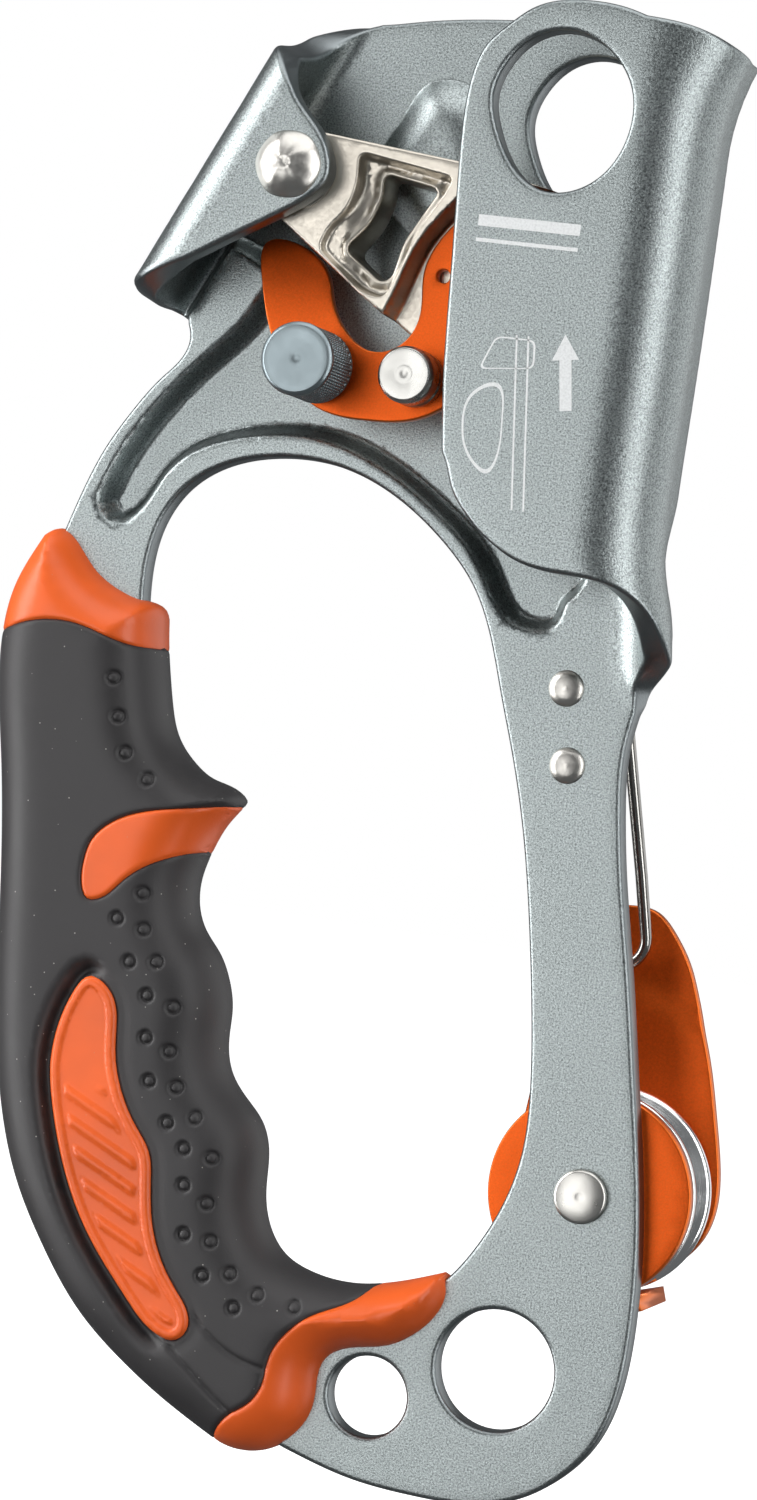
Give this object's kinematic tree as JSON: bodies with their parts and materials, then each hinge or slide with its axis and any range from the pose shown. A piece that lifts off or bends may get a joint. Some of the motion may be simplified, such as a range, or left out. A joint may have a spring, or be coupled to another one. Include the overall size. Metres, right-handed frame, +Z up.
{
  "type": "rope ascender",
  "caption": "Handled rope clamp with a folded rope channel, a toothed sprung cam and catch, a rubber grip, lower attachment eyes and a hauling pulley with wire gate.",
  "frame": {"origin": "centre of the large lower eye at mid-thickness of the handle plate", "axes": "+Z up the rope channel, +X to the right of the rope seen by the user, +Y away from the user, along the eye's axis"},
  "size_m": [0.1084, 0.0404, 0.2011],
  "materials": {
    "frame_anodised": "fine bead-blasted titanium-grey anodising",
    "cam_steel": "satin nickel-plated investment-cast steel",
    "rivet_steel": "polished pressed rivet heads",
    "orange_anodised": "orange anodised sheet, satin",
    "knob_anodised": "grey anodised turned knob",
    "turned_aluminium": "bright turned aluminium",
    "spring_wire": "drawn spring steel wire",
    "bearing_steel": "ground bearing steel",
    "cage_plastic": "moulded cage",
    "grip_rubber": "matte dark grey elastomer",
    "grip_orange": "satin orange elastomer",
    "bush_brass": "plain sintered bush",
    "bracket_stainless": "formed stainless sheet"
  },
  "bodies": {
    "frame": {"frame": "frame_anodised", "cam_rivet": "rivet_steel", "cam_front_washer": "bracket_stainless", "cam_back_bush": "bush_brass", "cam_spring": "spring_wire", "grip_rubber": "grip_rubber", "grip_top_collar": "grip_orange", "grip_lower_collar": "grip_orange", "grip_finger_band": "grip_orange", "grip_inlay_front": "grip_orange", "grip_inlay_back": "grip_orange", "pulley_cheek": "orange_anodised", "pulley_axle": "rivet_steel", "axle_front_spacer": "turned_aluminium", "axle_back_spacer": "turned_aluminium", "bearing_inner_race": "bearing_steel", "gate_bracket": "bracket_stainless", "gate_rivets": "rivet_steel"},
    "cam": {"cam": "cam_steel", "catch_rivet": "rivet_steel", "catch_spring": "spring_wire"},
    "catch": {"catch_lever": "orange_anodised", "catch_knob": "knob_anodised", "catch_stop_pin": "turned_aluminium"},
    "sheave": {"pulley_sheave": "turned_aluminium", "bearing_outer_race": "bearing_steel"},
    "ball_cage": {"bearing_cage": "cage_plastic", "bearing_balls": "bearing_steel"},
    "gate": {"wire_gate": "spring_wire"}
  },
  "joints": [
    {"name": "cam_pivot", "type": "hinge", "parent": "frame", "child": "cam", "pos_m": [-0.048, 0, 0.1572], "axis": [0, 1, 0], "range_deg": [0, 35], "stiffness_Nm_per_rad": 0.04, "springref_deg": -45.84, "deforming": ["cam_spring"]},
    {"name": "catch_hinge", "type": "hinge", "parent": "cam", "child": "catch", "pos_m": [-0.02, 0, 0.147], "axis": [0, 1, 0], "range_deg": [0, 8], "stiffness_Nm_per_rad": 0.02, "springref_deg": -45.84, "deforming": ["catch_spring"]},
    {"name": "sheave_spin", "type": "hinge", "parent": "frame", "child": "sheave", "pos_m": [0.0086, 0.0103, 0.0252], "axis": [0, 1, 0], "continuous": true},
    {"name": "cage_spin", "type": "hinge", "parent": "frame", "child": "ball_cage", "pos_m": [0.0086, 0.0103, 0.0252], "axis": [0, 1, 0], "continuous": true},
    {"name": "gate_hinge", "type": "hinge", "parent": "frame", "child": "gate", "pos_m": [-0.0024, 0.0064, 0.0874], "axis": [0.9881, 0, 0.1535], "range_deg": [-14, 0], "stiffness_Nm_per_rad": 0.01, "springref_deg": 34.38}
  ],
  "couplings": [
    {"joint": "cage_spin", "follows": "sheave_spin", "ratio": 0.6143}
  ]
}
